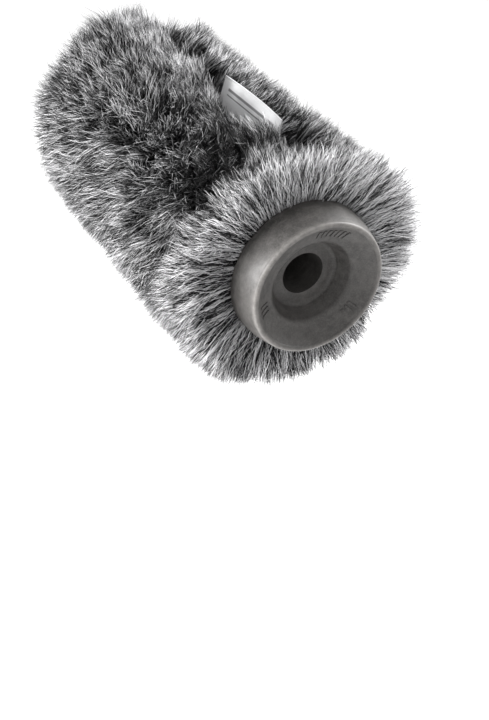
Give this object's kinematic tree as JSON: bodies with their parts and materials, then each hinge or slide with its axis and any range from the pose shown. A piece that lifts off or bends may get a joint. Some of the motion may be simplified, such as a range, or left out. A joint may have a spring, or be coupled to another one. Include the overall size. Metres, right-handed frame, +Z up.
{
  "type": "furry windscreen",
  "caption": "Slip-on furry windscreen: foam core with a blind microphone bore, moulded rubber base and a pull-off cover of long two-tone fur with a blank sewn-in label.",
  "frame": {"origin": "centre of the microphone bore's mouth, on the floor of the recess in the rubber base", "axes": "+Y along the bore, the way the microphone leaves; the nose points to -Y; +Z up through the top seam and the label; the two fur halves lie at +X and -X"},
  "size_m": [0.121, 0.2599, 0.1208],
  "materials": {
    "rubber": "matte moulded rubber, soft sheen on the rounded rim",
    "foam": "open-cell foam, matte",
    "backing": "knitted backing of the fur cloth",
    "fur": "long pile of mixed near-black and pale grey fibres",
    "binding": "woven binding tape",
    "elastic": "braided elastic",
    "thread": "polyester sewing thread",
    "label": "blank satin-woven label"
  },
  "bodies": {
    "base": {"rubber_base": "rubber", "foam_core": "foam"},
    "cover": {"backing_right": "backing", "backing_left": "backing", "pile_right": "fur", "pile_left": "fur", "hem_band": "binding", "hem_elastic": "elastic", "hem_stitches": "thread", "seam_stitches": "thread", "label": "label", "label_stitches": "thread"}
  },
  "joints": [
    {"name": "cover_slide", "type": "slide", "parent": "base", "child": "cover", "axis": [0, -1, 0], "range_m": [0, 0.23]}
  ]
}
